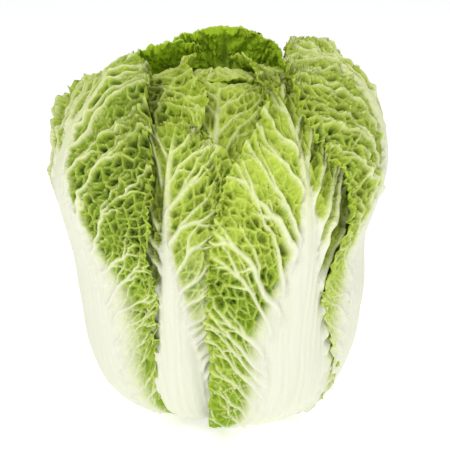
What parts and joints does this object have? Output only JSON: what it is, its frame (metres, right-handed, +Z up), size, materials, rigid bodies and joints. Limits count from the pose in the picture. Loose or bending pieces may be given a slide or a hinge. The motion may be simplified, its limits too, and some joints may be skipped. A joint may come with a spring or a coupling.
{
  "type": "napa cabbage",
  "caption": "Stout head of napa cabbage standing on its cut stem: ribbed white stalks, crinkled green leaves wrapped over a dense heart.",
  "frame": {"origin": "middle of the flat cut face of the stem, which the head stands on", "axes": "+Z up along the head's own axis; -Y is the side with the two front leaves, +X to the right seen from there"},
  "size_m": [0.2265, 0.2003, 0.2538],
  "materials": {
    "stem": "matt cut plant flesh, cream white",
    "inner_leaf": "satin pale yellow-green leaf",
    "outer_leaf": "satin green blade with a waxy white stalk"
  },
  "bodies": {
    "root": {"cut_stem": "stem", "heart": "inner_leaf", "inner_leaf_front": "inner_leaf", "inner_leaf_right": "inner_leaf", "inner_leaf_back_right": "inner_leaf", "inner_leaf_back_left": "inner_leaf", "inner_leaf_left": "inner_leaf", "outer_leaf_left": "outer_leaf", "outer_leaf_front_left": "outer_leaf", "outer_leaf_front_right": "outer_leaf", "outer_leaf_right": "outer_leaf", "outer_leaf_back_right": "outer_leaf", "outer_leaf_back": "outer_leaf", "outer_leaf_back_left": "outer_leaf"}
  },
  "joints": []
}
